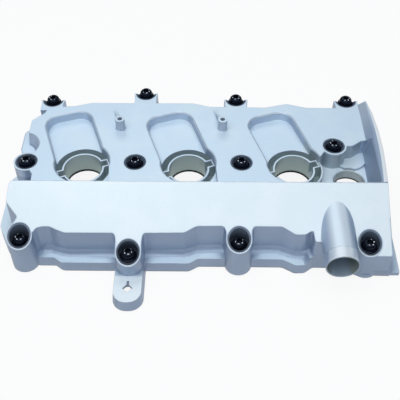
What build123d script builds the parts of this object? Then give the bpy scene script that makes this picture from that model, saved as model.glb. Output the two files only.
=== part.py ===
from build123d import *
import math
import os

os.makedirs("parts", exist_ok=True)

# Cast aluminium valve cover for one bank of three cylinders.
# The plan is drawn from the middle injector bore: x along the bank, y towards
# the back. Heights are counted from the face that the gasket lies on.

# levels
gasket_thick = 1.2
flange_top = 11.5
end_flange_top = 4.6
roof_level = 52.7
pocket_depth = 8.0
ridge_level = 58.0
well_floor = 33.0
recess_floor = 35.7
shelf_level = 43.0
wall = 3.0

# box along the front with its sloping top
ridge_y = -26.0
slope_deg = 28.5
draft_deg = 1.8

# injector wells
bore_pitch = 90.0
bore_r = 16.25
collar_wall = 1.6
key_wall = 1.3
well_r = 23.2
tube_bottom = 26.5
key_width = 6.0
key_reach = 21.4
key_deg = 20.0
key_depth = 12.0
pocket_half = 20.8
pocket_reach = 64.2
pocket_corner = 13.0
pocket_deg = 19.0

# fixing cups, all of one bore
cup_r = 9.4
boss_r = 10.7
slim_r = 8.2
sleeve_r = 4.9
front_seats = [28.0, 24.5, 26.5, 28.0]
high_seat = 49.4
grommet_pad = 3.0
head_flange_r = 6.9
head_clear = 0.3
front_row = [(-134.4, -66.8), (-46.5, -77.9), (42.15, -68.3), (146.3, -69.9)]
middle_row = [(-137.0, 0.0), (-45.0, 0.0), (45.0, 0.0), (125.1, 21.0)]
back_row = [(-126.0, 79.3), (-41.1, 89.4), (41.9, 81.3), (142.5, 80.2)]
back_fall_deg = 50.0

# opening beside the fourth middle cup
port_x = 137.5
port_y = -5.0
port_r = 13.0
port_mouth_r = 13.9
port_bottom = 27.0

# breather spigot
spigot_x = 121.2
spigot_z = 36.3
spigot_r = 13.7
spigot_bore_r = 12.3
spigot_front = -95.8
spigot_land = 9.8
spigot_root = -34.0

# bracket lug with its keyed hole
lug_x = -46.6
lug_y = -102.4
lug_r = 12.3
lug_top = 12.0
lug_hole_y = -100.4
lug_hole = 5.8
lug_web = 2.6
lug_field = [(-8.6, -10.8, 8), (8.6, -10.8, 8), (8.6, 8.0, 2), (-8.6, 8.0, 2)]

# threaded posts on the roof
post_r = 4.1
post_bore_r = 2.1
post_height = 11.0
posts = [(-60.7, 42.1), (-60.7 + bore_pitch, 42.1)]
web_run = 25.0
web_deg = 107.0
web_thick = 2.4

# end wall and end foot on the right
end_wall_x = 163.4
end_wall_bulge = 2.0
end_wall_back = 75.5
ridge_thick = 4.9
ridge_run = 6.0
recess_right = 153.1
recess_lean = 0.238
foot_x = 174.5
foot_front = -78.2
foot_back = 82.0

# oil separator plate under the box
plate_z = 15.0
plate_thick = 2.0
plate_screws = [(-105, -45), (-25, -45), (20, -45), (70, -45), (-70, -45)]
plate_x0 = -116.0
plate_x1 = 90.0
plate_y0 = -54.0
plate_y1 = -33.0

left_x = -160.5
slope = math.tan(math.radians(slope_deg))
draft = math.tan(math.radians(draft_deg))

# Outline of the flange, anticlockwise, each corner with its radius.
base_outline = [
    (-150, -59, 7), (-134, -68, 2), (-122.5, -70.3, 3), (-109.5, -70.3, 4),
    (-103, -75.3, 6), (1.5, -75.3, 6), (9.5, -70.3, 6), (78.5, -70.5, 6),
    (88.5, -76.4, 6), (97, -76, 6), (104, -70.4, 6), (133, -70.8, 3),
    (138, -77.8, 2), (167, -78.2, 1.2), (167, 80, 8), (150, 90, 10),
    (98, 87, 8), (-14, 90, 8), (-140, 88, 12), (-152, 76, 10),
    (-152, 28, 6), (left_x, 17, 6), (left_x, -38, 9),
]

# Outline of the walls where they meet the roof and the sloping top.
body_outline = [
    (-143.8, -62.5, 1), (-134, -64.5, 1), (-124.3, -64.6, 1), (-121, -61, 2),
    (-116.5, -60, 4), (-110.5, -60, 5), (-104.5, -62.4, 5), (-98.5, -64.3, 5),
    (-57.9, -64.2, 3), (-56.7, -70, 1), (-56.7, -77.9, 1), (-36.3, -77.9, 1),
    (-36.3, -70, 1), (-35.1, -64.1, 3), (-2, -63.7, 5), (8, -59, 6),
    (29.8, -58.8, 3), (31.9, -63, 1), (31.9, -68.3, 1), (52.4, -68.3, 1),
    (52.4, -62, 1), (54.3, -58.9, 2), (76.5, -58.9, 6), (87, -64.4, 5),
    (95, -64.5, 4), (101.4, -61.3, 1), (102.9, -69.5, 1.5), (132.5, -70, 3),
    (139, -76, 1), (143, -79.2, 1.5), (end_wall_x, -79.2, 1.2), (end_wall_x, ridge_y, 60),
    (end_wall_x + end_wall_bulge, 9, 60), (end_wall_x + end_wall_bulge - 0.3, 34, 60),
    (end_wall_x - 0.4, 57.5, 30), (end_wall_x - 3.8, end_wall_back, 2),
    (152, 77, 1), (141, 78, 1), (132.5, 70.3, 3), (105, 70.6, 8),
    (88, 75.8, 8), (69, 70.6, 8), (18, 71.2, 6), (3, 75.8, 8),
    (-90, 75.8, 8), (-105, 71.2, 6), (-118, 70.5, 2), (-126, 76, 1),
    (-131.5, 61.2, 2), (-141.2, 51.5, 4), (-141.2, 20, 2), (-137, 10, 1),
    (-133.5, -9.5, 1), (-130.2, -14.5, 2.5), (-129.8, ridge_y, 1),
    (-145.8, ridge_y, 5), (-147.2, -42.3, 2), (-137, -53.2, 2),
]

# Inner face of the walls, seen from below.
inner_outline = [
    (-133.5, -52.5, 3), (-121, -57, 3), (-108, -56.9, 4), (-99, -61, 4),
    (-2, -60.5, 5), (8, -55.7, 5), (77, -55.7, 5), (87, -61.2, 4),
    (94, -61.1, 3), (100, -57.8, 2), (105, -58.6, 2), (106.4, -66, 2),
    (133.5, -66.6, 3), (141, -75.6, 3),
    (end_wall_x - 3.4, -75.6, 3), (end_wall_x - 3.4, ridge_y, 40), (end_wall_x - 1.8, 9, 40),
    (end_wall_x - 2.2, 34, 40), (end_wall_x - 4.4, 57, 20), (end_wall_x - 6.8, 70.5, 4), (146, 67.5, 4),
    (106, 67.3, 6), (88, 72.4, 6), (68, 67.3, 6), (18, 68, 5),
    (3, 72.4, 6), (-90, 72.4, 6), (-105, 68, 5), (-126, 60, 4),
    (-137.8, 49.5, 4), (-137.8, 36, 3), (-126.4, 27, 5), (-126.4, -23, 3),
    (-138.4, -29.5, 5), (-143.2, -41.5, 3),
]

# Recess round the fourth opening, between the third well and the end wall.
recess_outline = [
    (96, ridge_y, 1), (recess_right, ridge_y, 2.5),
    (recess_right, 28.2, 2), (149.5, 27.4, 5), (141, 21, 5),
    (125.1, 20.8, 1), (116.4, 14.4, 1.5), (112.6, 8.6, 1), (96, 8.6, 1),
]
recess_step = 1.8
recess_step_at = (141.0, 22.0)
recess_step_r = 14.6

# Line of the front walls between the bosses, for the rounding at their foot.
skirt_outline = [
    (-120, -60, 4), (-110.5, -60, 5), (-104.5, -62.4, 5), (-98.5, -64.3, 5),
    (-2, -63.7, 5), (8, -59, 6), (76.5, -58.9, 6), (87, -64.4, 5),
    (98.5, -64.5, 5), (101.2, -72.5, 2), (133, -73, 3),
    (133, -40, 1), (-120, -40, 1),
]
skirt_r = 5.0

# Sunken field in front of a well, on its right, from the well's centre.
field_outline = [(5, ridge_y, 0.5), (25.2, ridge_y, 0.5), (22.3, 7, 2), (5, 8, 0.5)]
edge_bevel = 1.0


def rounded(points, grow, level):
    """Closed wire through the points, moved outwards by grow, corners rounded."""
    count = len(points)
    moved = []
    for i in range(count):
        ax, ay, _ = points[i - 1]
        bx, by, _ = points[i]
        cx, cy, _ = points[(i + 1) % count]
        la = math.hypot(bx - ax, by - ay)
        lb = math.hypot(cx - bx, cy - by)
        ux, uy = (bx - ax) / la, (by - ay) / la
        vx, vy = (cx - bx) / lb, (cy - by) / lb
        turn = ux * vy - uy * vx
        share = 1.0 + ux * vx + uy * vy
        moved.append((bx + grow * (uy + vy) / share, by - grow * (ux + vx) / share, turn, ux, uy, vx, vy))
    edges = []
    ends = []
    for i in range(count):
        x, y, turn, ux, uy, vx, vy = moved[i]
        radius = points[i][2] + (grow if turn > 0 else -grow)
        radius = max(radius, 0.35)
        angle = math.acos(max(-1.0, min(1.0, ux * vx + uy * vy)))
        before = math.hypot(x - moved[i - 1][0], y - moved[i - 1][1])
        after = math.hypot(x - moved[(i + 1) % count][0], y - moved[(i + 1) % count][1])
        cut = radius * math.tan(angle / 2)
        cut = min(cut, 0.46 * before, 0.46 * after)
        radius = cut / math.tan(angle / 2)
        start = (x - ux * cut, y - uy * cut)
        stop = (x + vx * cut, y + vy * cut)
        side = 1.0 if turn > 0 else -1.0
        mx, my = start[0] - uy * side * radius, start[1] + ux * side * radius
        px, py = x - mx, y - my
        far = math.hypot(px, py)
        middle = (mx + px / far * radius, my + py / far * radius)
        ends.append((start, middle, stop))
    for i in range(count):
        start, middle, stop = ends[i]
        onward = ends[(i + 1) % count][0]
        edges.append(Edge.make_three_point_arc((*start, level), (*middle, level), (*stop, level)))
        edges.append(Edge.make_line((*stop, level), (*onward, level)))
    return Wire(edges)


def slab(points, z0, z1, grow0=0.0, grow1=0.0):
    """Solid between two heights whose sides may lean."""
    if abs(grow0 - grow1) < 1e-6:
        return extrude(Face(rounded(points, grow0, z0)), z1 - z0, dir=(0, 0, 1))
    return Solid.make_loft([rounded(points, grow0, z0), rounded(points, grow1, z1)], ruled=True)


def leaning(points, z0, z1, ref, inset=0.0):
    """Slab whose walls lean with the casting's draft about the height ref."""
    return slab(points, z0, z1, (ref - z0) * draft - inset, (ref - z1) * draft - inset)


def upright(x, y, r, z0, z1):
    return Pos(x, y, (z0 + z1) / 2) * Cylinder(r, z1 - z0)


def cone(x, y, r0, r1, z0, z1):
    return Pos(x, y, (z0 + z1) / 2) * Cone(r0, r1, z1 - z0)


def side_profile(points, x0, x1):
    """Prism along x from a profile given as (y, z) points."""
    wire = Wire.make_polygon([(x0, y, z) for y, z in points], close=True)
    return extrude(Face(wire), x1 - x0, dir=(1, 0, 0))


def end_profile(points, y0, y1):
    """Prism along y from a profile given as (x, z) points."""
    wire = Wire.make_polygon([(x, y0, z) for x, z in points], close=True)
    return extrude(Face(wire), y1 - y0, dir=(0, 1, 0))


def top_height(y, drop=0.0):
    """Height of the sloping top over y, less a drop."""
    return ridge_level - (ridge_y - y) * slope - drop


def everything_below(drop=0.0, back=0.0):
    """Envelope under the roof and the sloping top."""
    low = top_height(-130.0, drop)
    profile = [(-130.0, -5.0), (125.0, -5.0), (125.0, roof_level - drop + back)]
    crest = ridge_y - back
    profile += [(crest, roof_level - drop + back), (crest, top_height(crest, drop) - edge_bevel)]
    profile += [(crest - edge_bevel, top_height(crest - edge_bevel, drop)), (-130.0, low)]
    return side_profile(profile, -190.0, 190.0)


def fallen_back(y, drop=0.0):
    """Wedge taken off a back boss behind its cup's centre line."""
    fall = math.tan(math.radians(back_fall_deg))
    run = 30.0
    z = roof_level - drop
    return side_profile([(y, z), (y + run, z - run * fall), (y + run, z + 30), (y, z + 30)], -190.0, 190.0)


def well_centres():
    return [(-bore_pitch, 0.0), (0.0, 0.0), (bore_pitch, 0.0)]


def pocket_shape(x, y, grow, z0, z1, foot=0.0):
    """Sunken field behind a well: straight sides, round back corners."""
    left = -pocket_half - 0.4 - grow
    right = pocket_half - 0.4 + grow
    back = pocket_reach + grow
    corner = pocket_corner + grow
    points = [(left, 0, 0.5), (right, 0, 0.5), (right, back, corner), (left, back, corner)]
    field = slab(points, z0, z1, -foot, 0.0)
    return Pos(x, y, 0) * Rot(0, 0, pocket_deg) * field


def key_box(x, y, reach, width, z0, z1):
    """Bar across a well that makes its two opposite keyways."""
    bar = Box(2 * reach, width, z1 - z0)
    return Pos(x, y, (z0 + z1) / 2) * Rot(0, 0, key_deg) * bar


def recess_shape(grow, z0, z1):
    """Recess round the fourth opening; its right wall leans back to the ridge."""
    wires = []
    for z in (z0, z1):
        lean = (z - recess_floor) * recess_lean
        points = [(x + lean if x == recess_right else x, y, r) for x, y, r in recess_outline]
        wires.append(rounded(points, grow, z))
    return Solid.make_loft(wires, ruled=True)


def foot_rounding(points, level, radius, reach):
    """Concave rounding round the foot of walls, in three facets."""
    angles = [math.radians(a) for a in (0, 30, 60, 90)]
    steps = [(radius * (1 - math.cos(a)), radius * (1 - math.sin(a))) for a in angles]
    shape = None
    for (h0, g0), (h1, g1) in zip(steps[:-1], steps[1:]):
        layer = slab(points, level + h0, level + h1, g0 + reach, g1 + reach)
        shape = layer if shape is None else shape + layer
    return shape


def lug_shape(z0, z1, grow0, grow1):
    points = [(lug_x - lug_r, lug_y - lug_r, lug_r - 0.05), (lug_x + lug_r, lug_y - lug_r, lug_r - 0.05)]
    points += [(lug_x + lug_r, -70, 1), (lug_x - lug_r, -70, 1)]
    return slab(points, z0, z1, grow0, grow1)


pocket_floor = roof_level - pocket_depth
rim = pocket_floor
cup_tops = [(x, y, seat) for (x, y), seat in zip(front_row, front_seats)]
cup_tops += [(x, y, high_seat) for x, y in middle_row + back_row]


# Outside of the casting.
envelope = everything_below()
walls = leaning(body_outline, flange_top - 1.5, 66.0, 45.0)
shelf = [(-143.5, 12, 2), (-118, 12, 1), (-118, 50, 1), (-143, 50, 3), (-147.7, 45.5, 5), (-147.7, 24, 8)]
outside = walls
for x, y in front_row:
    outside += cone(x, y, boss_r + 0.5, boss_r - 0.65, gasket_thick, 60.0)
for x, y in middle_row:
    outside += cone(x, y, boss_r + 0.7, boss_r, gasket_thick, 60.0)
outside = outside & envelope
outside -= Pos(154.2, -85.25, 20) * Box(24, 10, 30)
for x, y in back_row:
    outside += cone(x, y, boss_r + 0.6, boss_r, gasket_thick, roof_level) - fallen_back(y)
    middle = (flange_top + roof_level) / 2
    outside += Pos(x, y - 7, middle) * Box(2 * boss_r - 1.6, 14, roof_level - flange_top)
outside += leaning(shelf, flange_top - 1.5, shelf_level, shelf_level)
outside += slab(base_outline, gasket_thick, flange_top, 0.35, 0.0)
skirt = foot_rounding(skirt_outline, flange_top, skirt_r, (45.0 - flange_top) * draft)
outside += skirt & slab(base_outline, flange_top - 1, flange_top + skirt_r + 1)
foot = [(150, foot_front, 1), (foot_x, foot_front, 1.2), (foot_x, foot_back, 6), (150, foot_back, 1)]
outside += slab(foot, gasket_thick, end_flange_top, 0.0, -0.15)
outside += lug_shape(gasket_thick, lug_top, 0.2, -1.0)

# Ridge of the end wall behind the box: the wall bulges and the ridge thins out to a tip.
outer = [(end_wall_x, ridge_y - 0.5, 0.5), (end_wall_x + end_wall_bulge, 9, 60)]
outer += [(end_wall_x + end_wall_bulge - 0.3, 34, 60), (end_wall_x - 0.4, 57.5, 30)]
outer += [(end_wall_x - 3.8, end_wall_back - 1.2, 0.8)]
crest = [(end_wall_x - 5.2, end_wall_back - 0.8, 0.8), (end_wall_x - 4.4, 56, 30)]
crest += [(end_wall_x - ridge_thick + 0.8, 21.5, 60), (end_wall_x - ridge_thick, ridge_y - 0.5, 0.5)]
toe = [(x - ridge_run - 0.6, y + 0.5, r) for x, y, r in crest[:3]]
toe += [(end_wall_x - ridge_thick - ridge_run, ridge_y - 0.5, 0.5)]
low = rounded(outer + toe, -0.25, roof_level - 0.5)
high = rounded(outer + crest, -0.4, ridge_level)
outside += Solid.make_loft([low, high], ruled=True)

# Scoop in the left edge of the roof, down to the shelf.
outside -= cone(-144.5, 20.5, 9.6, 15.2 + 0.6, shelf_level, roof_level + 1.0)
outside += cone(*middle_row[0], boss_r + 0.2, boss_r, shelf_level - 4, roof_level)

# Spigot: a level tube let into the sloping top, with a turned land at its mouth.
tube_length = spigot_root - spigot_front
tube = Pos(spigot_x, (spigot_root + spigot_front) / 2, spigot_z) * Rot(90, 0, 0) * Cylinder(spigot_r, tube_length)
land = Pos(spigot_x, spigot_front + spigot_land / 2, spigot_z) * Rot(90, 0, 0)
tube -= land * (Cylinder(spigot_r + 3, spigot_land) - Cylinder(spigot_r - 0.35, spigot_land))
outside += tube

# Posts with their webs.
for x, y in posts:
    outside += upright(x, y, post_r, roof_level - 1, roof_level + post_height)
    outside += cone(x, y, post_r + 0.7, post_r, roof_level - 0.3, roof_level + 0.5)
    corners = [(0, 0, -1), (web_run, 0, -1), (web_run, 0, 0), (0, 0, post_height - 1.5)]
    web = Wire.make_polygon(corners, close=True)
    web = extrude(Face(web), web_thick / 2, both=True)
    outside += Pos(x, y, roof_level) * Rot(0, 0, web_deg) * web

# Hollow under the cover.
inner_top = everything_below(wall * 1.13, 0.4)
hollow = leaning(inner_outline, -1.0, 62.0, 45.0, 0.4) & inner_top
under_shelf = [(-140.5, 16, 2), (-125, 16, 2), (-125, 41, 3), (-144.2, 41, 4), (-144.2, 26, 5)]
hollow += slab(under_shelf, -1.0, shelf_level - wall - 0.2)
hollow -= cone(-144.5, 20.5, 12.8, 19.6, shelf_level - wall - 0.2, roof_level + 1.0)
for x, y in well_centres():
    hollow -= pocket_shape(x, y, wall, pocket_floor - wall, roof_level)
    hollow -= upright(x, y, well_r + wall - 0.6, well_floor - wall, roof_level)
    hollow -= upright(x, y, bore_r + collar_wall, tube_bottom, roof_level)
    hollow -= key_box(x, y, key_reach + 2.0, key_width + 4.0, rim - key_depth - 2.0, rim)
    hollow -= Pos(x, y, 0) * slab(field_outline, pocket_floor - wall, roof_level, wall, wall)
for x, y, seat in cup_tops:
    low = seat - grommet_pad - wall
    hollow -= upright(x, y, boss_r, low, roof_level + 8)
    if (x, y) in middle_row:
        hollow -= cone(x, y, slim_r + 0.5, slim_r, gasket_thick, low + 1)
    else:
        hollow -= upright(x, y, boss_r, gasket_thick, low + 1)
hollow -= recess_shape(wall, recess_floor - wall, roof_level)
hollow -= Pos(159, 1, 50) * Box(14, 60, 16)
hollow -= upright(port_x, port_y, port_r + 3.4, port_bottom, roof_level)
for x, y in plate_screws:
    hollow -= upright(x, y, 4.6, plate_z, ridge_level)

# Hollow under the lug, which leaves a rim and a thin field round the keyed hole.
hollow += Pos(lug_x, lug_y + 2.5, 0) * slab(lug_field, -1.0, lug_top - lug_web)

# Ribs under the roof, between the wells and behind the box.
for x in (-45.0, 45.0):
    hollow -= Pos(x, 30, 45.5) * Box(2.6, 80, 12)
hollow -= Pos(0, ridge_y - 2.0, 44.5) * Box(300, 2.8, 16)

# Openings from above.
cuts = []
for x, y in well_centres():
    cuts.append(pocket_shape(x, y, 0.0, pocket_floor, roof_level + 1, 0.9))
    cuts.append(pocket_shape(x, y, edge_bevel, roof_level - edge_bevel, roof_level + 0.02, edge_bevel))
    cuts.append(Pos(x, y, 0) * slab(field_outline, pocket_floor, roof_level + 1))
    cuts.append(cone(x, y, well_r, well_r + edge_bevel, roof_level - edge_bevel, roof_level + 0.02))
    ring = upright(x, y, well_r, well_floor, roof_level + 1)
    ring -= upright(x, y, bore_r + collar_wall, well_floor - 1, rim)
    ring -= key_box(x, y, key_reach + key_wall, key_width + 2 * key_wall, well_floor - 1, rim)
    cuts.append(ring)
    cuts.append(upright(x, y, bore_r, tube_bottom - 1, roof_level))
    cuts.append(key_box(x, y, key_reach, key_width, rim - key_depth, roof_level))
recess = recess_shape(0.0, recess_floor, ridge_level + 3)
recess = recess & (everything_below(-0.3) + Pos(159, 7, 55) * Box(14, 65.8, 14))
recess -= upright(*middle_row[3], boss_r + 0.25, recess_floor - 1, roof_level)
recess -= upright(bore_pitch, 0, well_r + key_wall, recess_floor - 1, rim)
recess -= upright(*recess_step_at, recess_step_r, recess_floor - 1, recess_floor + recess_step)
cuts.append(recess)
cuts.append(upright(port_x, port_y, port_mouth_r, recess_floor, recess_floor + recess_step + 1))
cuts.append(cone(port_x, port_y, port_r, port_mouth_r, recess_floor - 0.9, recess_floor + 0.01))
cuts.append(upright(port_x, port_y, port_r, port_bottom - 1, recess_floor))
for x, y, seat in cup_tops:
    cuts.append(upright(x, y, cup_r, seat - grommet_pad, roof_level + 8))
    cuts.append(upright(x, y, sleeve_r + 0.05, 0.0, seat))
for x, y in posts:
    cuts.append(upright(x, y, post_bore_r, roof_level + 1.5, roof_level + post_height + 1))
spigot_bore = Pos(spigot_x, (spigot_front - 48) / 2 - 1, spigot_z) * Rot(90, 0, 0)
cuts.append(spigot_bore * Cylinder(spigot_bore_r, -48 - spigot_front + 2))
for x, y in plate_screws:
    cuts.append(upright(x, y, 2.2, plate_z - 1, plate_z + 9))

# Keyed hole through the lug: a square set on its corner, with a slot behind.
diamond = Pos(lug_x, lug_hole_y, 6) * Rot(0, 0, 45) * Box(lug_hole, lug_hole, 30)
slot = Pos(lug_x, lug_hole_y + 4.6, 6) * Box(1.7, 4.4, 30)
cuts.append(diamond + slot)

casting = outside - hollow
for cut in cuts:
    casting -= cut
if len(casting.solids()) > 1:
    casting = max(casting.solids(), key=lambda s: s.volume)

# Gasket: a flat ring over the flange face, with holes for the sleeves.
ring_out = slab(base_outline, 0.0, gasket_thick, -0.25, -0.25)
for x, y in front_row + back_row:
    ring_out += upright(x, y, boss_r - 0.6, 0.0, gasket_thick)
ring_in = leaning(inner_outline, -1.0, gasket_thick + 1, 45.0, 0.4)
ring_in += slab(under_shelf, -1.0, gasket_thick + 1)
for x, y in front_row + back_row + middle_row[:1]:
    ring_in -= upright(x, y, boss_r - 1.5, -1.0, gasket_thick + 1)
gasket = ring_out - ring_in
for x, y in front_row + back_row + middle_row[:1]:
    gasket -= upright(x, y, sleeve_r + 0.6, -1.0, gasket_thick + 1)
gasket = max(gasket.solids(), key=lambda s: s.volume)


def ring_of(profile):
    """Solid of revolution from (radius, height) points."""
    wire = Wire.make_polygon([(r, 0, z) for r, z in profile], close=True)
    return revolve(Face(wire), axis=Axis.Z)


def well_seal():
    """Rubber ring pushed on the lower end of an injector tube."""
    r = bore_r + collar_wall
    top = well_floor - wall - 0.6
    low = tube_bottom - 1.7
    return ring_of([(bore_r - 0.3, low), (r + 1.9, low), (r + 2.2, top), (r + 0.05, top),
                    (r + 0.05, tube_bottom), (bore_r - 0.3, tube_bottom)])


def port_seal():
    r = port_r + 3.4
    low = port_bottom - 1.4
    return ring_of([(port_r - 0.1, low), (r, low), (r, port_bottom), (port_r, port_bottom)])


def grommet(seat):
    """Rubber cup liner: pad under the bolt head and a thin skirt up the cup."""
    skirt = cup_r - 0.05
    top = roof_level + 12
    shape = ring_of([(sleeve_r + 0.05, seat - grommet_pad), (skirt, seat - grommet_pad),
                     (skirt, top), (skirt - 1.1, top), (skirt - 1.3, seat + 1.0),
                     (head_flange_r + head_clear, seat - 0.05), (sleeve_r + 0.05, seat - 0.05)])
    return shape


def bolt(seat, tip):
    """Domed flange bolt with a round drive recess; its tip ends above the base."""
    flange = head_flange_r
    head = ring_of([(0, seat), (flange, seat), (flange, seat + 1.1), (5.75, seat + 1.5), (5.65, seat + 4.0),
                    (4.9, seat + 5.7), (3.4, seat + 6.7), (2.7, seat + 6.8), (2.5, seat + 3.4), (0, seat + 3.0)])
    shank = ring_of([(0, tip), (2.2, tip), (2.95, tip + 0.8), (2.95, seat + 0.2), (0, seat + 0.2)])
    return head + shank


def sleeve(seat):
    return ring_of([(3.3, 0.6), (sleeve_r, 0.6), (sleeve_r, seat - 0.02), (3.3, seat - 0.02)])


pieces = {"cover_casting": casting, "perimeter_gasket": gasket}
names = ["left", "centre", "right"]
for name, (x, y) in zip(names, well_centres()):
    pieces["injector_seal_" + name] = Pos(x, y, 0) * well_seal()
pieces["port_seal"] = Pos(port_x, port_y, 0) * port_seal()

# The bolts of a row are all of one length, so the deepest seat sets the tips.
rows = {"front": (front_row, front_seats), "middle": (middle_row, [high_seat] * 4)}
rows["back"] = (back_row, [high_seat] * 4)
for row, (places, seats) in rows.items():
    bolts = []
    sleeves = []
    for number, ((x, y), seat) in enumerate(zip(places, seats), start=1):
        bolts.append(Pos(x, y, 0) * bolt(seat, 0.9 + seat - min(seats)))
        sleeves.append(Pos(x, y, 0) * sleeve(seat))
        liner = Pos(x, y, 0) * grommet(seat)
        liner = liner & everything_below(0.35)
        if row == "back":
            liner = liner - fallen_back(y, 0.35)
        pieces["grommet_" + row + "_" + str(number)] = liner
    pieces["bolts_" + row + "_row"] = Compound(children=bolts)
    pieces["sleeves_" + row + "_row"] = Compound(children=sleeves)

# Oil separator: pressed plate with a drain lip, screwed to the bosses in the box.
plate = Pos((plate_x0 + plate_x1) / 2, (plate_y0 + plate_y1) / 2, plate_z - plate_thick / 2)
plate = plate * Box(plate_x1 - plate_x0, plate_y1 - plate_y0, plate_thick)
plate = fillet(plate.edges().filter_by(Axis.Z), 5)
lip = Pos((plate_x0 + plate_x1) / 2, plate_y1 - plate_thick / 2, plate_z + 3)
plate += lip * Box(plate_x1 - plate_x0 - 12, plate_thick, 8)
screws = []
for x, y in plate_screws:
    plate -= upright(x, y, 2.3, plate_z - 5, plate_z + 5)
    low = plate_z - plate_thick
    screw = ring_of([(0, low - 2.4), (3.4, low - 2.4), (4.0, low - 1.6), (4.0, low), (2.1, low),
                     (2.1, plate_z + 7), (0, plate_z + 7)])
    screws.append(Pos(x, y, 0) * screw)
drains = [plate_x0 + 24 + 31 * i for i in range(6)]
for x in drains:
    plate -= upright(x, plate_y0 + 6, 2.0, plate_z - 5, plate_z + 2)
pieces["separator_plate"] = plate
pieces["separator_screws"] = Compound(children=screws)

# The origin lies under the middle of the whole part, on the gasket's lower face.
x_mid = (left_x - 0.35 + foot_x) / 2
y_mid = (lug_y - lug_r - 0.2 + back_row[1][1] + boss_r + 0.6) / 2
for name, piece in pieces.items():
    placed = Pos(-x_mid, -y_mid, 0) * piece
    export_step(placed, "parts/" + name + ".step")
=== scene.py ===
import math

import bmesh
import bpy
import numpy as np
from mathutils import Matrix, Vector


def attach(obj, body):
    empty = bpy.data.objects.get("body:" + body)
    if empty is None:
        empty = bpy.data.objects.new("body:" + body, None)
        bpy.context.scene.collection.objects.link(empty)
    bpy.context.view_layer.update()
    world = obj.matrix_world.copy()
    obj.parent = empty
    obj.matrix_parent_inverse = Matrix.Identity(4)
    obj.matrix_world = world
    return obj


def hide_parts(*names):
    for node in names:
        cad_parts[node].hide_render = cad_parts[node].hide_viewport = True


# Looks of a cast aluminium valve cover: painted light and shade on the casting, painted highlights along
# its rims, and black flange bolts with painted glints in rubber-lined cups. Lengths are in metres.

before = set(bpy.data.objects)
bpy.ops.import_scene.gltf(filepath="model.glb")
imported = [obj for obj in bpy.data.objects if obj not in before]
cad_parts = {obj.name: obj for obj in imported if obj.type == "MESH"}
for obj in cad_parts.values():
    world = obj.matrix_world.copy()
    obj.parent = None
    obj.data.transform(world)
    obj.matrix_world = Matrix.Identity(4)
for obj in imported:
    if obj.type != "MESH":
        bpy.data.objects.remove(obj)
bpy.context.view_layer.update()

MM = 0.001

# The casting is drawn from its middle injector bore. This point of that drawing is the origin here.
X_MID, Y_MID = 6.825, -7.1


def at(x, y):
    """A place of the drawing, given in millimetres."""
    return (x - X_MID) * MM, (y - Y_MID) * MM


def mm(*lengths):
    """Lengths that are given in millimetres."""
    return tuple(length * MM for length in lengths)


WELLS = [at(x, 0.0) for x in (-90.0, 0.0, 90.0)]
TUBE_R = 16.25 * MM
GROOVE_R = 23.2 * MM
RIM_Z = 44.7 * MM
SPIGOT_X, SPIGOT_MOUTH_Y = at(121.2, -95.8)
SPIGOT_Z = 36.3 * MM
PORT = at(137.5, -5.0)
RECESS_LOW = at(98.0, -30.0)
RECESS_HIGH = at(150.5, 30.0)
RECESS_TOP = 51.4 * MM
ROOF_Z = 52.7 * MM
RIDGE_X = at(151.0, 0.0)[0]
BULGE_X, BULGE_Y = at(161.9, 22.0)
BULGE_CURVE = 1.05
LUG_BACK_Y = at(0.0, -88.0)[1]
FOOT_Z = 20 * MM

# Heights over which one look of the casting gives way to the next.
LEVELS = {
    "gasket_face": mm(1.22, 1.3),
    "flange": mm(15, 19),
    "foot": mm(18, 22),
    "eased_from": mm(20, 22),
    "deep_tube": mm(30, 42),
    "ridge": mm(36, 38),
    "eased_to": mm(43, 45),
    "pocket_rims": mm(43.5, 45.5),
    "left_end": mm(50, 52),
    "inner_face": mm(52.6, 52.9),
    "above_roof": mm(53.3, 54),
    "crest": mm(57.0, 57.6),
}

# Radii at which the looks of the fourth opening and the spigot end, and where the spigot's end inwards.
PORT_EDGE = mm(13.2, 13.6)
SPIGOT_EDGE, SPIGOT_ROOT = mm(13.75, 13.9), mm(-34, -30)
BORE_EDGE, BORE_ROOT = mm(12.35, 12.7), mm(-60, -55)
LAND_EDGE, LAND_ROOT = mm(13.45, 13.6), (SPIGOT_MOUTH_Y + 9 * MM, SPIGOT_MOUTH_Y + 10 * MM)

# The painted shade on the inner face of the end wall pales over the first of these, towards the back,
# and the painted shade in the liners of the front cups over the second, upwards.
RIDGE_BACK = mm(38, 72)
CUP_MOUTH = mm(27, 39)

# Edges between faces that meet at less than these angles, in degrees, are shaded smooth.
SMOOTH_WALL, SMOOTH_FOOT, SMOOTH_BOLT = 27, 33, 38

# Points of the casting that are nearer to each other than this are one point.
SAME_POINT = 0.001 * MM

# For each bolt its place and the height of its seat, and the height of the lowest tip, in millimetres.
BOLT_ROWS = {
    "front": [(-134.4, -66.8, 28.0), (-46.5, -77.9, 24.5), (42.15, -68.3, 26.5), (146.3, -69.9, 28.0)],
    "middle": [(-137.0, 0.0, 49.4), (-45.0, 0.0, 49.4), (45.0, 0.0, 49.4), (125.1, 21.0, 49.4)],
    "back": [(-126.0, 79.3, 49.4), (-41.1, 89.4, 49.4), (41.9, 81.3, 49.4), (142.5, 80.2, 49.4)],
}
BOLT_TIP = 0.9

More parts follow.
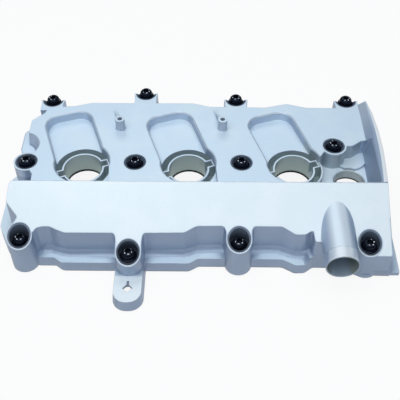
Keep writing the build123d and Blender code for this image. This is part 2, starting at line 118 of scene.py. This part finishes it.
# Profiles of a bolt, radius and height in millimetres. Heights of SHANK count from the tip, the others
# from the seat. In SOCKET the radius is a share of the six-lobed outline.
SHANK = [(1.9, 0.0), (2.15, 0.05), (2.9, 0.85), (2.95, 1.2)]
SHANK_TOP = (2.95, -0.02)
HEAD = [
    (6.75, 0.0), (6.88, 0.12), (6.88, 0.9), (6.72, 1.08), (5.95, 1.32), (5.74, 1.55), (5.66, 2.6),
    (5.60, 3.7), (5.44, 4.5), (5.1, 5.25), (4.55, 5.9), (4.1, 6.25), (3.6, 6.5), (3.3, 6.6), (3.1, 6.64),
]
SOCKET = [(1.05, 6.62), (1.0, 6.4), (0.985, 5.0), (0.97, 3.5), (0.5, 3.3)]
LOBES_IN, LOBES_OUT, LOBES_CORNER = 2.1, 2.8, 0.35
RING_POINTS = 96

# Turns of the bolts in radians: that of a row's first, what each next one adds, and what a millimetre does.
FIRST_TURN, NEXT_TURN, TURN_ALONG = 0.35, 0.83, 0.01

# Tones of the casting. A pair is mottled from the first to the second. Apart from speck, the metal's own
# random tone, these are painted light and shade: lit and shaded copies of one metal by the way a face
# turns (top, slope, shallow, steep, above_roof, left_end, recess_floor, recess_wall and the spigot's),
# painted shade in the corners, grooves, tubes and bore, on the end wall's inner face and on eased edges,
# and painted highlights on the lug, lips, rims and crest. The land is a turned finish, painted brighter
# on its top.
CAST = {
    "top": ((0.75, 0.885, 1.0), (0.80, 0.925, 1.0)),
    "slope": ((0.785, 0.86, 0.90), (0.825, 0.895, 0.93)),
    "steep": ((0.385, 0.475, 0.62), (0.43, 0.52, 0.67)),
    "shallow": ((0.53, 0.63, 0.77), (0.57, 0.67, 0.81)),
    "above_roof": (0.535, 0.60, 0.70),
    "left_end": (0.30, 0.37, 0.48),
    "corner_shade": (0.34, 0.42, 0.54),
    "lug": (0.90, 0.97, 1.0),
    "inner_face": (0.335, 0.425, 0.565),
    "speck": (0.44, 0.54, 0.68),
    "groove": (0.49, 0.575, 0.575),
    "upper_tube": (0.36, 0.46, 0.47),
    "lower_tube": (0.42, 0.53, 0.49),
    "recess_wall": (0.40, 0.47, 0.50),
    "recess_floor": (0.82, 0.93, 1.0),
    "spigot_top": (0.84, 0.93, 1.0),
    "spigot_right": (0.28, 0.38, 0.54),
    "spigot_left": (0.54, 0.64, 0.80),
    "bore": (0.44, 0.50, 0.46),
    "eased_edge": (0.42, 0.51, 0.65),
    "lip": (0.80, 0.93, 1.0),
    "rim": (0.92, 0.97, 1.0),
    "crest": (0.98, 1.0, 1.0),
    "land": (0.95, 1.0, 1.0),
}

# Tones of the bolts and the rubber.
COATING = (0.006, 0.008, 0.015)
SCUFFED = (0.022, 0.028, 0.042)
# The white of the painted glints on the bolts.
GLINT_WHITE = (0.90, 0.94, 1.0)
COOL_SHINE = (0.60, 0.76, 1.0)
LINER = (0.095, 0.123, 0.17)
# The deep liner tones paint shade: dark low in the front cups, paler at their mouths.
DEEP_LINER = (0.048, 0.061, 0.086)
DEEP_LINER_MOUTH = (0.18, 0.225, 0.29)
SEAL = (0.004, 0.005, 0.007)

# The camera of the photograph. Angles are in degrees, and the focal length is a share of the width.
PITCH, YAW, ROLL = 48.46, -0.974, -0.334
FOCAL_SHARE = 701.157 / 400.0
EYE = (*at(16.85, -416.25), 474.66 * MM)

# Soft boxes: place, aim, width and depth, power, colour.
COOL_WHITE = (0.93, 0.975, 1.0)
LAMPS = {
    "overhead": ((-0.09, -0.30, 1.2), (-0.03, -0.05, 0.0), (1.6, 1.15), 11.2, COOL_WHITE),
    "back": ((-0.2, 1.35, 1.5), (0.0, 0.0, 0.0), (1.6, 0.9), 5.0, COOL_WHITE),
    "spark": ((-0.35, -0.15, 1.3), (0.0, 0.0, 0.0), (0.14, 0.14), 0.9, (1.0, 1.0, 1.0)),
}
SURROUND, SURROUND_POWER = (0.66, 0.80, 1.0, 1.0), 0.22
FLOOR_LIT = (0.34, 0.34, 0.35)
FLOOR_SEEN = ((0.92, 0.92, 0.92), (0.94, 0.94, 0.94))
FLOOR_HALF = 30.0


class Tone:
    """A shader socket. Sums, products and comparisons on it add their Math nodes."""

    def __init__(self, finish, socket):
        self.finish = finish
        self.socket = socket

    def maths(self, operation, *others):
        return self.finish.node("ShaderNodeMath", {"operation": operation}, dict(enumerate((self,) + others)))

    def __add__(self, other):
        return self.maths("ADD", other)

    __radd__ = __add__

    def __sub__(self, other):
        return self.maths("SUBTRACT", other)

    def __rsub__(self, other):
        return (self * -1.0).maths("ADD", other)

    def __mul__(self, other):
        return self.maths("MULTIPLY", other)

    __rmul__ = __mul__

    def __pow__(self, power):
        return self.maths("POWER", power)

    def least(self, other):
        return self.maths("MINIMUM", other)

    def most(self, other):
        return self.maths("MAXIMUM", other)

    def step(self, start, stop, before, after):
        """A smooth step from before to after, between start and stop."""
        settings = {"interpolation_type": "SMOOTHSTEP", "clamp": True}
        sockets = {"Value": self, 1: start, 2: stop, 3: before, 4: after}
        return self.finish.node("ShaderNodeMapRange", settings, sockets)

    def rises(self, start, stop):
        """0 before start, 1 after stop."""
        return self.step(start, stop, 0.0, 1.0)

    def falls(self, start, stop):
        """1 before start, 0 after stop."""
        return self.step(start, stop, 1.0, 0.0)


class Finish:
    """A node material with a Principled shader and the object's own coordinates."""

    def __init__(self, name, **constants):
        self.material = bpy.data.materials.new(name)
        self.material.use_nodes = True
        self.tree = self.material.node_tree
        self.tree.nodes.clear()
        self.shader = self.tree.nodes.new("ShaderNodeBsdfPrincipled")
        self.output = self.tree.nodes.new("ShaderNodeOutputMaterial")
        self.tree.links.new(self.shader.outputs["BSDF"], self.output.inputs["Surface"])
        self.place = self.node("ShaderNodeTexCoord", {}, {}, "Object")
        self.x, self.y, self.z = self.axes(self.place.socket)
        self.aside, _, self.up = self.axes(self.place.socket.node.outputs["Normal"])
        for socket, value in constants.items():
            self.set(socket.replace("_", " "), value)

    def axes(self, vector):
        """The three parts of a vector socket."""
        parts = self.tree.nodes.new("ShaderNodeSeparateXYZ")
        self.tree.links.new(vector, parts.inputs[0])
        return [Tone(self, part) for part in parts.outputs]

    def plug(self, socket, value):
        """Links a tone to a socket, or sets the socket to a plain value."""
        if isinstance(value, Tone):
            self.tree.links.new(value.socket, socket)
        elif isinstance(value, tuple) and len(value) == 3 and socket.type == "RGBA":
            socket.default_value = (*value, 1.0)
        else:
            socket.default_value = value

    def node(self, kind, settings, sockets, output=0):
        """Any node: settings first, then its sockets by name or number."""
        made = self.tree.nodes.new(kind)
        for key, value in settings.items():
            setattr(made, key, value)
        for key, value in sockets.items():
            self.plug(made.inputs[key], value)
        return Tone(self, made.outputs[output])

    def set(self, socket, value):
        """Sets or links a socket of the Principled shader."""
        self.plug(self.shader.inputs[socket], value)

    def noise(self, grain, detail=2.0, rough=0.5, place=None):
        """Soft noise whose lumps are about one grain across, 0 to 1."""
        sockets = {"Vector": place or self.place, "Scale": 1.0 / grain, "Detail": detail, "Roughness": rough}
        return self.node("ShaderNodeTexNoise", {"noise_dimensions": "3D"}, sockets, 0)

    def stretched(self, factors):
        """The object's coordinates with each axis scaled."""
        sockets = {"Vector": self.place, "Scale": factors}
        return self.node("ShaderNodeMapping", {"vector_type": "POINT"}, sockets)

    def blend(self, factor, first, second):
        """Mix of two colours: the first at 0, the second at 1."""
        return self.node("ShaderNodeMix", {"data_type": "RGBA"}, {0: factor, 6: first, 7: second}, 2)

    def bump(self, height, depth, strength=1.0, under=None):
        """Normals that a height bends, on top of the normals under it."""
        sockets = {"Height": height, "Distance": depth, "Strength": strength}
        if under:
            sockets["Normal"] = under
        return self.node("ShaderNodeBump", {}, sockets)

    def soft_edges(self, radius):
        """Normals rounded over the sharp edges, as casting and blasting leave them."""
        return self.node("ShaderNodeBevel", {"samples": 4}, {"Radius": radius})

    def sharp_edges(self, reach):
        """Near 1 on thin rims, up to a half at outer edges, 0 where the metal is deeper than the reach."""
        settings = {"inside": True, "samples": 8}
        return 1.0 - self.node("ShaderNodeAmbientOcclusion", settings, {"Distance": reach}, "AO")

    def openness(self, reach):
        """1 on open surfaces, less in corners that have another face within the reach."""
        return self.node("ShaderNodeAmbientOcclusion", {"samples": 8}, {"Distance": reach}, "AO")


def distance(across, along):
    """Distance from an axis, from the offsets across and along."""
    return (across * across + along * along) ** 0.5


def lit_top_tone(skin, mottle, sloping):
    """Painted light on up faces: duller on slopes, painted shade in flange corners, brightest on the lug."""
    low = skin.z.falls(*LEVELS["flange"])
    # A painted pool of light on the lug's top.
    lug = skin.y.falls(LUG_BACK_Y - 2 * MM, LUG_BACK_Y + 2 * MM) * low
    # Painted shade low on the flange: the corner tone where another face is within reach or the face tilts.
    unshaded = skin.openness(9 * MM).rises(0.50, 1.0) * skin.up.rises(0.97, 0.9995)
    unshaded = unshaded.most(lug).most(1.0 - low)
    tone = skin.blend(sloping, skin.blend(mottle, *CAST["top"]), skin.blend(mottle, *CAST["slope"]))
    return skin.blend(unshaded, CAST["corner_shade"], skin.blend(lug, tone, CAST["lug"]))


def shaded_wall_tone(skin, mottle):
    """Painted shade on steep faces: paler from the rims up, greyer above the roof, darkest facing left."""
    shallow = skin.blend(mottle, *CAST["shallow"])
    shallow = skin.blend(skin.z.rises(*LEVELS["above_roof"]), shallow, CAST["above_roof"])
    steep = skin.blend(mottle, *CAST["steep"])
    steep = skin.blend(skin.z.rises(*LEVELS["pocket_rims"]), steep, shallow)
    # Painted shade on low faces that turn to the left.
    left_end = skin.aside.falls(-0.75, -0.45) * skin.z.falls(*LEVELS["left_end"])
    return skin.blend(left_end * 0.5, steep, CAST["left_end"])


def end_wall(skin):
    """Masks of painted light on the raised wall at the right end: painted shade on its inner face, and a
    painted highlight on its crest.

    The highlight lies outside the line x = BULGE_X - BULGE_CURVE * (y - BULGE_Y)^2; inside it the crest
    gets the painted shade of the inner face.
    """
    ridge = skin.x.rises(RIDGE_X, RIDGE_X + 2 * MM) * skin.z.rises(*LEVELS["ridge"])
    from_bulge = skin.y - BULGE_Y
    inner_line = BULGE_X - from_bulge * from_bulge * BULGE_CURVE
    outer_strip = (skin.x - inner_line).rises(0.0, 0.3 * MM)
    crest = skin.z.rises(*LEVELS["crest"]) * ridge * skin.up.rises(0.955, 0.985)
    upper = skin.z.rises(*LEVELS["inner_face"]).most(skin.up.falls(0.3, 0.6))
    inner_face = ridge * skin.up.falls(0.75, 0.86) * upper
    inner_face = inner_face.most(crest * (1.0 - outer_strip))
    towards_back = skin.y.rises(*RIDGE_BACK)
    return inner_face * (1.0 - towards_back * 0.5), crest * outer_strip


def wells(skin):
    """Masks of the injector tubes, and of the grooves round them together with the fourth opening."""
    inside = distance(skin.x - WELLS[0][0], skin.y - WELLS[0][1])
    for x, y in WELLS[1:]:
        inside = inside.least(distance(skin.x - x, skin.y - y))
    tubes = inside.falls(TUBE_R + 0.1 * MM, TUBE_R + 0.4 * MM)
    grooves = inside.falls(GROOVE_R + 0.1 * MM, GROOVE_R + 0.4 * MM)
    grooves = grooves * skin.z.falls(RIM_Z - 1.6 * MM, RIM_Z - 0.2 * MM)
    port = distance(skin.x - PORT[0], skin.y - PORT[1]).falls(*PORT_EDGE)
    return tubes, grooves.most(port)


def recess_box(skin):
    """Mask of the recess beside the third well: between its two corners, and below its top."""
    box = skin.z.falls(RECESS_TOP - 0.6 * MM, RECESS_TOP)
    for axis, low, high in zip((skin.x, skin.y), RECESS_LOW, RECESS_HIGH):
        box = box * axis.rises(low, low + MM) * axis.falls(high - MM, high)
    return box


def spigot_masks(skin):
    """Masks of the breather spigot, of its bore, and of the turned land at its mouth."""
    radius = distance(skin.x - SPIGOT_X, skin.z - SPIGOT_Z)
    spigot = radius.falls(*SPIGOT_EDGE) * skin.y.falls(*SPIGOT_ROOT)
    bore = radius.falls(*BORE_EDGE) * skin.y.falls(*BORE_ROOT)
    land = radius.falls(*LAND_EDGE) * skin.y.falls(*LAND_ROOT)
    return spigot, bore, land


def painted_edge_light(skin, bore):
    """Masks of painted shade on eased edges low down, and of painted highlights on roof lips and thin rims.
    """
    edge = skin.sharp_edges(1.8 * MM) * skin.up.rises(0.15, 0.6)
    rims = edge.rises(0.52, 0.80).least(1.0 - bore)
    lips = edge.rises(0.15, 0.45) * skin.z.rises(ROOF_Z - 1.2 * MM, ROOF_Z - 0.8 * MM)
    eased = edge.rises(0.05, 0.45) * skin.z.rises(*LEVELS["eased_from"]) * skin.z.falls(*LEVELS["eased_to"])
    return eased * skin.up.rises(0.7, 0.85) * (1.0 - rims), lips, rims


def cast_skin():
    """Cast metal with painted light and shade: what faces up is painted bright, steep faces painted dark.

    Painted highlights run along the rims. Inside the tubes and the grooves the tones are painted shade, a
    little green; the recess gets a painted lit floor and shaded walls, and the spigot is painted lit on
    top and shaded at its sides and in its bore.
    """
    skin = Finish("cast_skin")
    clouds = skin.noise(34 * MM, 3.0)
    specks = skin.noise(1.3 * MM, 2.0)
    grain = skin.noise(0.55 * MM, 3.0, 0.6)
    pits = skin.noise(2.6 * MM, 2.0)
    mottle = clouds.rises(0.35, 0.68)
    sloping = skin.up.falls(0.90, 0.97) * skin.z.rises(*LEVELS["foot"])
    inner_face, crest = end_wall(skin)
    tubes, grooves = wells(skin)
    in_tube = skin.blend(skin.z.falls(*LEVELS["deep_tube"]), CAST["upper_tube"], CAST["lower_tube"])
    recess = recess_box(skin) * (1.0 - grooves)
    floor = skin.up.rises(0.5, 0.9)
    spigot, bore, land = spigot_masks(skin)
    eased, lips, rims = painted_edge_light(skin, bore)
    # Each coat has a mask, the share that it covers there, and its tone. The later ones lie on top.
    coats = [
        # Painted shade on the end wall's inner face; the specks after it are the metal's own tone.
        (inner_face, 0.9, CAST["inner_face"]),
        (specks.rises(0.55, 0.78), 0.12, CAST["speck"]),
        # Painted shade, a little green, in the grooves and the tubes; painted light and shade in the recess.
        (grooves, 0.85, CAST["groove"]),
        (tubes, 0.9, in_tube),
        (recess * (1.0 - floor), 0.85, CAST["recess_wall"]),
        (recess * floor, 1.0, CAST["recess_floor"]),
        # Painted light and shade on the spigot: lit on top, shaded on its right, half lit on its left.
        (spigot * skin.up.rises(0.68, 0.96), 1.0, CAST["spigot_top"]),
        (spigot * skin.aside.rises(0.25, 0.75), 0.9, CAST["spigot_right"]),
        (spigot * skin.aside.falls(-0.85, -0.35), 0.6, CAST["spigot_left"]),
        # Painted shade in the spigot's bore.
        (bore, 0.9, CAST["bore"]),
        # Painted shade on eased edges, and painted highlights on the lips, the rims and the crest.
        (eased, 0.9, CAST["eased_edge"]),
        (lips, 0.35, CAST["lip"]),
        (rims, 0.9, CAST["rim"]),
        (crest, 1.0, CAST["crest"]),
        # The turned land is a real brighter finish, painted only where it faces up: partly a painted
        # highlight.
        (land * (1.0 - bore) * skin.up.rises(0.80, 0.98), 0.5, CAST["land"]),
    ]
    # Painted light and shade by the way a face turns: lit tone where it faces up, shaded tone where steep.
    body = skin.blend(skin.up.rises(0.58, 0.84), shaded_wall_tone(skin, mottle), lit_top_tone(skin, mottle, sloping))
    for mask, share, tone in coats:
        body = skin.blend(mask * share, body, tone)
    under = skin.z.falls(*LEVELS["gasket_face"])
    turned = (land * 0.4).most(under).most(tubes)
    relief = (grain * 0.7 + pits * 0.5) * (1.0 - turned * 0.8)
    skin.set("Base Color", body)
    skin.set("Metallic", 0.35 - sloping * skin.up.rises(0.84, 0.90) * 0.2)
    skin.set("Roughness", 0.37 + clouds * 0.08 + specks * 0.05 - turned * 0.08)
    skin.set("Normal", skin.bump(relief, 0.06 * MM, 0.5, skin.soft_edges(0.8 * MM)))
    return skin.material


def black_coat():
    """Glossy black coating of the bolts, with fine scuffs and painted glints that a point attribute holds."""
    coat = Finish("black_coat", Specular_IOR_Level=0.18, Specular_Tint=COOL_SHINE)
    scuffs = coat.noise(0.7 * MM, 3.0)
    glints = coat.node("ShaderNodeAttribute", {"attribute_name": "glint_spots"}, {}, "Fac")
    colour = coat.blend(scuffs.rises(0.60, 0.8) * 0.5, COATING, SCUFFED)
    # Painted glints: white where the point attribute is high.
    coat.set("Base Color", coat.blend(glints.rises(0.15, 0.6), colour, GLINT_WHITE))
    coat.set("Roughness", 0.09 + scuffs * 0.10)
    coat.set("Normal", coat.bump(scuffs, 0.02 * MM, 0.3))
    return coat.material


def rubber(name, tone, mouth=None):
    """Matt moulded rubber with a dusty bloom. In deep cups painted shade darkens it below their mouths."""
    finish = Finish(name, Specular_IOR_Level=0.25)
    bloom = finish.noise(5.0 * MM, 3.0)
    grain = finish.noise(0.35 * MM, 2.0)
    pale = tuple(2.4 * part for part in tone)
    colour = finish.blend(bloom.rises(0.45, 0.8) * 0.35, tone, pale)
    # Painted shade: deep cups go darker downwards from the tone of their mouths.
    if mouth:
        colour = finish.blend(finish.z.rises(*CUP_MOUTH), colour, mouth)
    finish.set("Base Color", colour)
    finish.set("Roughness", 0.52 + bloom * 0.2)
    finish.set("Normal", finish.bump(grain, 0.05 * MM, 0.5))
    return finish.material


def turned_steel():
    """Zinc-plated steel with fine turning marks."""
    finish = Finish("turned_steel", Metallic=1.0)
    rings = finish.noise(0.25 * MM, 1.0, 0.5, finish.stretched((0.15, 0.15, 1.0)))
    haze = finish.noise(4.0 * MM, 2.0)
    finish.set("Base Color", finish.blend(haze, (0.56, 0.56, 0.54), (0.68, 0.67, 0.62)))
    finish.set("Roughness", 0.26 + haze * 0.16)
    finish.set("Normal", finish.bump(rings, 0.03 * MM, 0.5))
    return finish.material


def rolled_sheet():
    """Aluminium sheet with the long faint lines of rolling."""
    finish = Finish("rolled_sheet", Metallic=0.9)
    lines = finish.noise(0.3 * MM, 2.0, 0.5, finish.stretched((0.02, 1.0, 1.0)))
    haze = finish.noise(12 * MM, 2.0)
    finish.set("Base Color", finish.blend(haze, (0.54, 0.55, 0.56), (0.64, 0.65, 0.66)))
    finish.set("Roughness", 0.30 + lines * 0.18)
    finish.set("Normal", finish.bump(lines, 0.02 * MM, 0.4))
    return finish.material


def placed(name, data):
    """A new object of the scene with this data."""
    piece = bpy.data.objects.new(name, data)
    bpy.context.scene.collection.objects.link(piece)
    return piece


def surface(name, points, material, ring=False):
    """Mesh from a grid of points (rows, columns, 3). Rings close round, and their two ends are capped."""
    rows, columns = points.shape[:2]
    index = np.arange(rows * columns).reshape(rows, columns)
    ahead = np.roll(index, -1, axis=1) if ring else index[:, 1:]
    here = index if ring else index[:, :-1]
    faces = np.stack([here[:-1], ahead[:-1], ahead[1:], here[1:]], axis=-1).reshape(-1, 4).tolist()
    if ring:
        faces += [index[0, ::-1].tolist(), index[-1].tolist()]
    mesh = bpy.data.meshes.new(name)
    mesh.from_pydata(points.reshape(-1, 3).tolist(), [], faces)
    mesh.materials.append(material)
    return placed(name, mesh)


def star(angle):
    """Radius of the six-lobed socket.

    It is LOBES_IN + (LOBES_OUT - LOBES_IN) * ((1 + cos 6a) / 2) ** LOBES_CORNER.
    """
    wave = (1.0 + np.cos(6.0 * angle)) / 2.0
    return LOBES_IN + (LOBES_OUT - LOBES_IN) * wave ** LOBES_CORNER


def bolt_points(tip, seat, turn):
    """Rings of one bolt from its tip to the bottom of its socket.

    Each ring is a circle of radius r at height z, with the profile's corners eased, and the
    rings inside the socket follow the six-lobed outline of star() instead of a circle.
    """
    shank = [(r, z + tip) for r, z in SHANK]
    outline = np.array(shank + [(r, z + seat) for r, z in [SHANK_TOP, *HEAD]])
    socket = np.array(SOCKET)
    angle = np.linspace(0.0, 2.0 * math.pi, RING_POINTS, endpoint=False) + turn
    across = np.stack([np.cos(angle), np.sin(angle)], axis=-1)
    circles = np.repeat(outline[:, :1], len(angle), axis=1)
    radii = np.vstack([circles, socket[:, :1] * star(angle - turn)])
    heights = np.concatenate([outline[:, 1], socket[:, 1] + seat])
    rings = np.empty((len(heights), len(angle), 3))
    rings[..., :2] = radii[..., None] * across
    rings[..., 2] = heights[:, None]
    return rings * MM


def painted_glints(points, centre, turn):
    """Painted glints at the points of a bolt, 0 to 1.

    It is exp(-((r - 3) / 0.5)^2) about the socket's rim, times ((1 + cos 6a) / 2)^2 for its six
    corners, times 0.15 + 0.85 * (1 + cos(a - b)) / 2 for the side b where the glints are painted strongest.
    """
    rim_radius, rim_width, rim_depth = 3.0, 0.5, 0.9 * MM
    glint_side = 1.1 * math.sin(9.0 * turn) - 1.57
    offset = points[..., :2] / MM - np.array(centre) / MM
    radius = np.hypot(offset[..., 0], offset[..., 1])
    angle = np.arctan2(offset[..., 1], offset[..., 0])
    rim = np.exp(-(((radius - rim_radius) / rim_width) ** 2))
    rim = rim * (points[..., 2] > points[..., 2].max() - rim_depth)
    corners = ((1.0 + np.cos(6.0 * (angle - turn))) / 2.0) ** 2
    side = 0.15 + 0.85 * (1.0 + np.cos(angle - glint_side)) / 2.0
    return rim * corners * side


def bolt_row(row, material):
    """The four flange bolts of one row as one mesh, all of one length, each turned a little differently."""
    lowest = min(seat for _, _, seat in BOLT_ROWS[row])
    pieces = []
    for number, (x, y, seat) in enumerate(BOLT_ROWS[row]):
        turn = FIRST_TURN + NEXT_TURN * number + TURN_ALONG * x
        points = bolt_points(BOLT_TIP + seat - lowest, seat, turn)
        points[..., :2] += at(x, y)
        piece = surface(f"{row}_bolt_{number + 1}", points, material, ring=True)
        # Painted glints, kept on the points for the coat.
        glint_spots = piece.data.attributes.new("glint_spots", "FLOAT", "POINT")
        glint_spots.data.foreach_set("value", painted_glints(points, at(x, y), turn).ravel().astype(np.float32))
        pieces.append(piece)
    joined = pieces[0]
    bpy.ops.object.select_all(action="DESELECT")
    for piece in pieces:
        piece.select_set(True)
    bpy.context.view_layer.objects.active = joined
    bpy.ops.object.join()
    joined.name = f"flange_bolts_{row}"
    joined.data.shade_smooth()
    joined.data.set_sharp_from_angle(angle=math.radians(SMOOTH_BOLT))
    return joined


def spun(angle):
    """Turn by an angle about the third axis."""
    cosine, sine = math.cos(angle), math.sin(angle)
    return np.array([[cosine, -sine, 0], [sine, cosine, 0], [0, 0, 1]])


def photo_camera():
    """Camera at EYE that looks down at PITCH, turned by YAW and ROLL, as the photograph was taken."""
    pitch, yaw, roll = [math.radians(angle) for angle in (PITCH, YAW, ROLL)]
    cosine, sine = math.cos(pitch), math.sin(pitch)
    look = np.array([[1, 0, 0], [0, -sine, -cosine], [0, cosine, -sine]])
    right, down, ahead = spun(roll) @ look @ spun(yaw)
    data = bpy.data.cameras.new("camera")
    data.sensor_width = 36.0
    data.lens = FOCAL_SHARE * data.sensor_width
    camera = placed("camera", data)
    turn = Matrix([(right[i], -down[i], -ahead[i]) for i in range(3)]).to_4x4()
    camera.matrix_world = Matrix.Translation(EYE) @ turn
    bpy.context.scene.camera = camera


def lamp(name, place, aim, size, power, colour):
    """Rectangular soft box that faces the point aim."""
    data = bpy.data.lights.new(name, "AREA")
    data.shape = "RECTANGLE"
    data.size, data.size_y = size
    data.energy = power
    data.color = colour
    back = (Vector(place) - Vector(aim)).normalized()
    turn = back.to_track_quat("Z", "Y").to_matrix().to_4x4()
    placed(name, data).matrix_world = Matrix.Translation(place) @ turn


def floor_paint():
    """White sweep. Camera, glossy and transmission rays see it nearly white.

    The light that it throws back on the part is that of a grey floor.
    """
    paint = Finish("floor_paint", Roughness=0.9)
    rays = paint.node("ShaderNodeLightPath", {}, {}, "Is Camera Ray")
    others = [Tone(paint, rays.socket.node.outputs[f"Is {kind} Ray"]) for kind in ("Glossy", "Transmission")]
    seen = (rays + others[0] + others[1]).least(1.0)
    mottle = paint.blend(paint.noise(0.4, 1.0), *FLOOR_SEEN)
    paint.set("Base Color", paint.blend(seen, FLOOR_LIT, mottle))
    glow = paint.node("ShaderNodeEmission", {}, {"Color": (1.0, 1.0, 1.0), "Strength": 1.0})
    lit = Tone(paint, paint.shader.outputs[0])
    mixed = paint.node("ShaderNodeMixShader", {}, {0: seen * 0.9, 1: lit, 2: glow})
    paint.plug(paint.output.inputs["Surface"], mixed)
    return paint.material


def studio():
    """Floor that keeps the shadow, soft boxes and a dim bluish surround."""
    near, far = -FLOOR_HALF, FLOOR_HALF
    grid = np.array([[[near, near, 0], [far, near, 0]], [[near, far, 0], [far, far, 0]]], float)
    surface("floor", grid, floor_paint())
    for name, settings in LAMPS.items():
        lamp(name, *settings)
    world = bpy.data.worlds.new("surround")
    world.use_nodes = True
    background = world.node_tree.nodes["Background"].inputs
    background["Color"].default_value = SURROUND
    background["Strength"].default_value = SURROUND_POWER
    bpy.context.scene.world = world
    bpy.context.scene.view_settings.view_transform = "Standard"


def dress(material, *nodes):
    """Gives CAD nodes one material."""
    for node in nodes:
        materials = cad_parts[node].data.materials
        materials.clear()
        materials.append(material)


def sharp_marks(mesh, degrees):
    """True for each edge of a mesh whose faces meet at more than this angle."""
    mesh.set_sharp_from_angle(angle=math.radians(degrees))
    marks = np.zeros(len(mesh.edges), dtype=bool)
    mesh.attributes["sharp_edge"].data.foreach_get("value", marks)
    return marks


def rounded_off(node, name, material):
    """Copy of a node with its doubled points merged, so that it shades smoothly over its shallow edges.

    Edges up to 27 degrees are smooth, and up to 33 degrees at the foot of the walls, whose rounding
    has facets of 30. The normals are weighted by the areas of the faces, so that flat faces stay flat
    and the narrow facets carry the whole turn.
    """
    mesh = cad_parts[node].data.copy()
    merged = bmesh.new()
    merged.from_mesh(mesh)
    bmesh.ops.remove_doubles(merged, verts=merged.verts, dist=SAME_POINT)
    merged.to_mesh(mesh)
    merged.free()
    if "custom_normal" in mesh.attributes:
        mesh.attributes.remove(mesh.attributes["custom_normal"])
    mesh.shade_smooth()
    ends = np.empty(len(mesh.edges) * 2, np.int32)
    mesh.edges.foreach_get("vertices", ends)
    places = np.empty(len(mesh.vertices) * 3, np.float32)
    mesh.vertices.foreach_get("co", places)
    heights = places.reshape(-1, 3)[ends.reshape(-1, 2), 2].mean(axis=1)
    marks = np.where(heights < FOOT_Z, sharp_marks(mesh, SMOOTH_FOOT), sharp_marks(mesh, SMOOTH_WALL))
    mesh.attributes["sharp_edge"].data.foreach_set("value", marks)
    mesh.materials.clear()
    mesh.materials.append(material)
    piece = placed(name, mesh)
    piece.modifiers.new("even_normals", "WEIGHTED_NORMAL").keep_sharp = True
    return piece


skin = cast_skin()
coat = black_coat()
liner = rubber("liner_rubber", LINER)
deep_liner = rubber("deep_liner_rubber", DEEP_LINER, DEEP_LINER_MOUTH)
seal = rubber("seal_rubber", SEAL)
steel = turned_steel()
sheet = rolled_sheet()

casting = rounded_off("cover_casting", "cast_cover", skin)
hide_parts("cover_casting")
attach(casting, "root")
dress(seal, "perimeter_gasket", "port_seal")
dress(seal, "injector_seal_left", "injector_seal_centre", "injector_seal_right")
dress(deep_liner, *[f"grommet_front_{number}" for number in range(1, 5)])
dress(liner, *[f"grommet_{row}_{number}" for row in ("middle", "back") for number in range(1, 5)])
dress(steel, "sleeves_front_row", "sleeves_middle_row", "sleeves_back_row", "separator_screws")
dress(sheet, "separator_plate")

for row in BOLT_ROWS:
    bolts = bolt_row(row, coat)
    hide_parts(f"bolts_{row}_row")
    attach(bolts, "root")

photo_camera()
studio()
